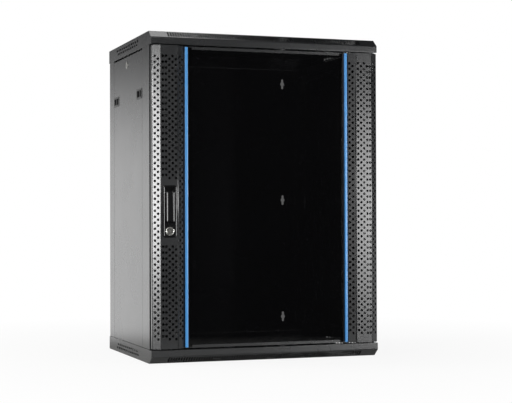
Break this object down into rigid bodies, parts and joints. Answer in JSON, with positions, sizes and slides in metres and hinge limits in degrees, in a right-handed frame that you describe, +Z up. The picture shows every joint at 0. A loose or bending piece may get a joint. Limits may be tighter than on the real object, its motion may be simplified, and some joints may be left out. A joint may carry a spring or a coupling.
{
  "type": "wall mount network cabinet",
  "caption": "Wall mount network cabinet in satin black sheet steel: tinted glass door with perforated folded stiles, blue strips and lever handle, lift-off side panels, adjustable rack rails.",
  "frame": {"origin": "middle of the overall box, on the plane the base cover stands on", "axes": "+Z up, front faces -Y, wall side faces +Y, +X to the right seen from the front"},
  "size_m": [0.6, 0.467, 0.8145],
  "materials": {
    "black_powder_coat": "satin black powder coat",
    "blue_strip": "blue extruded plastic, satin gloss",
    "tinted_glass": "toughened glass, dark tint",
    "foam_tape": "black foam tape",
    "handle_plastic": "black moulded plastic",
    "latch_plastic": "black moulded plastic",
    "lock_nickel": "nickel-plated brass",
    "zinc_steel": "zinc-plated steel"
  },
  "bodies": {
    "cabinet": {"base_cover": "black_powder_coat", "base_entry_plate": "black_powder_coat", "bracket_screws": "zinc_steel", "entry_plate_screws": "zinc_steel", "front_latch_left": "latch_plastic", "front_latch_right": "latch_plastic", "front_post_left": "black_powder_coat", "front_post_right": "black_powder_coat", "front_rail_left": "black_powder_coat", "front_rail_right": "black_powder_coat", "lower_bracket_left": "black_powder_coat", "lower_bracket_right": "black_powder_coat", "rail_bolts": "zinc_steel", "rear_latch_left": "latch_plastic", "rear_latch_right": "latch_plastic", "rear_panel": "black_powder_coat", "rear_panel_screws": "zinc_steel", "rear_post_left": "black_powder_coat", "rear_post_right": "black_powder_coat", "rear_rail_left": "black_powder_coat", "rear_rail_right": "black_powder_coat", "side_lock_barrels": "lock_nickel", "side_lock_nuts": "zinc_steel", "side_panel_left": "black_powder_coat", "side_panel_right": "black_powder_coat", "top_cover": "black_powder_coat", "top_entry_plate": "black_powder_coat", "upper_bracket_left": "black_powder_coat", "upper_bracket_right": "black_powder_coat"},
    "door": {"door_stile_left": "black_powder_coat", "door_stile_right": "black_powder_coat", "door_top_bar": "black_powder_coat", "door_bottom_bar": "black_powder_coat", "door_glass": "tinted_glass", "glass_tape_left": "foam_tape", "glass_tape_right": "foam_tape", "accent_strip_left": "blue_strip", "accent_strip_right": "blue_strip", "hinge_brackets": "zinc_steel", "lower_hinge_pin": "zinc_steel", "handle_bezel": "handle_plastic", "handle_lever_pin": "zinc_steel", "handle_clamp": "zinc_steel", "handle_clamp_screw": "zinc_steel"},
    "upper_pin": {"upper_hinge_pin": "zinc_steel"},
    "lever": {"handle_lever": "handle_plastic"},
    "door_lock": {"door_lock_plug": "lock_nickel", "door_lock_cam": "zinc_steel", "door_cam_screw": "zinc_steel"},
    "lock_left": {"side_lock_left_plug": "lock_nickel", "side_lock_left_cam": "zinc_steel"},
    "lock_right": {"side_lock_right_plug": "lock_nickel", "side_lock_right_cam": "zinc_steel"},
    "slider_front_left": {"front_slider_left": "latch_plastic"},
    "slider_front_right": {"front_slider_right": "latch_plastic"},
    "slider_rear_left": {"rear_slider_left": "latch_plastic"},
    "slider_rear_right": {"rear_slider_right": "latch_plastic"}
  },
  "joints": [
    {"name": "door_hinge", "type": "hinge", "parent": "cabinet", "child": "door", "pos_m": [0.291, -0.212, 0.40725], "axis": [0, 0, 1], "range_deg": [0, 180]},
    {"name": "upper_pin_slide", "type": "slide", "parent": "door", "child": "upper_pin", "axis": [0, 0, -1], "range_m": [0, 0.006], "stiffness_N_per_m": 400, "springref_m": -0.01},
    {"name": "lever_hinge", "type": "hinge", "parent": "door", "child": "lever", "pos_m": [-0.257, -0.2275, 0.418], "axis": [-1, 0, 0], "range_deg": [0, 35]},
    {"name": "door_lock_turn", "type": "hinge", "parent": "door", "child": "door_lock", "pos_m": [-0.257, -0.2165, 0.324], "axis": [0, 1, 0], "range_deg": [0, 90]},
    {"name": "side_lock_left_turn", "type": "hinge", "parent": "cabinet", "child": "lock_left", "pos_m": [-0.2985, 0.0335, 0.755], "axis": [1, 0, 0], "range_deg": [0, 90]},
    {"name": "side_lock_right_turn", "type": "hinge", "parent": "cabinet", "child": "lock_right", "pos_m": [0.2985, 0.0335, 0.755], "axis": [1, 0, 0], "range_deg": [0, 90]},
    {"name": "front_latch_left_slide", "type": "slide", "parent": "cabinet", "child": "slider_front_left", "axis": [0, 1, 0], "range_m": [0, 0.0065], "stiffness_N_per_m": 300, "springref_m": -0.008},
    {"name": "front_latch_right_slide", "type": "slide", "parent": "cabinet", "child": "slider_front_right", "axis": [0, 1, 0], "range_m": [0, 0.0065], "stiffness_N_per_m": 300, "springref_m": -0.008},
    {"name": "rear_latch_left_slide", "type": "slide", "parent": "cabinet", "child": "slider_rear_left", "axis": [0, -1, 0], "range_m": [0, 0.0065], "stiffness_N_per_m": 300, "springref_m": -0.008},
    {"name": "rear_latch_right_slide", "type": "slide", "parent": "cabinet", "child": "slider_rear_right", "axis": [0, -1, 0], "range_m": [0, 0.0065], "stiffness_N_per_m": 300, "springref_m": -0.008}
  ]
}
